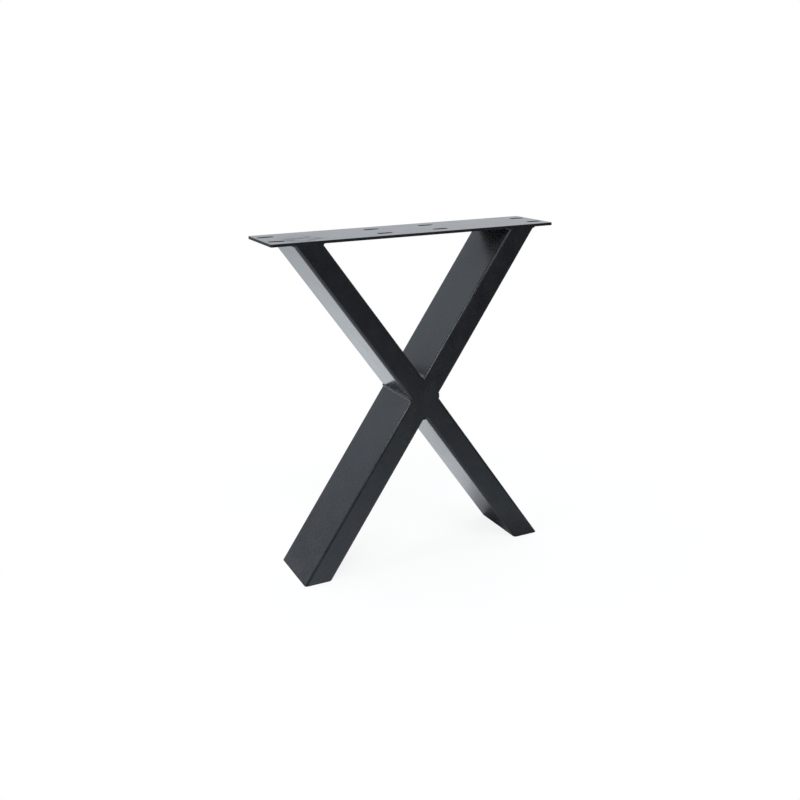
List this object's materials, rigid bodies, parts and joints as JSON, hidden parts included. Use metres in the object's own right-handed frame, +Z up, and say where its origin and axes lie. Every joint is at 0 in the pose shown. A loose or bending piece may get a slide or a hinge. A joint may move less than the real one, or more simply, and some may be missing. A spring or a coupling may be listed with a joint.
{
  "type": "x shaped table leg",
  "caption": "Welded steel table leg in the form of an X: rectangular tubes that cross under a thin flat fixing plate with long screw slots, powder coated black",
  "frame": {"origin": "on the floor, under the middle of the fixing plate; the middle of the underside of the bounding box", "axes": "+X along the plate, to the right seen from the front; +Y from the front faces to the back faces; +Z up, from the feet to the plate"},
  "size_m": [0.635, 0.15, 0.72],
  "materials": {
    "black_powder_coat": "satin, fine grained powder coat"
  },
  "bodies": {
    "root": {"top_plate": "black_powder_coat", "long_tube": "black_powder_coat", "upper_half_tube": "black_powder_coat", "lower_half_tube": "black_powder_coat", "left_foot_plate": "black_powder_coat", "right_foot_plate": "black_powder_coat", "upper_crossing_weld": "black_powder_coat", "lower_crossing_weld": "black_powder_coat", "left_head_outer_weld": "black_powder_coat", "left_head_inner_weld": "black_powder_coat", "right_head_inner_weld": "black_powder_coat", "right_head_outer_weld": "black_powder_coat"}
  },
  "joints": []
}
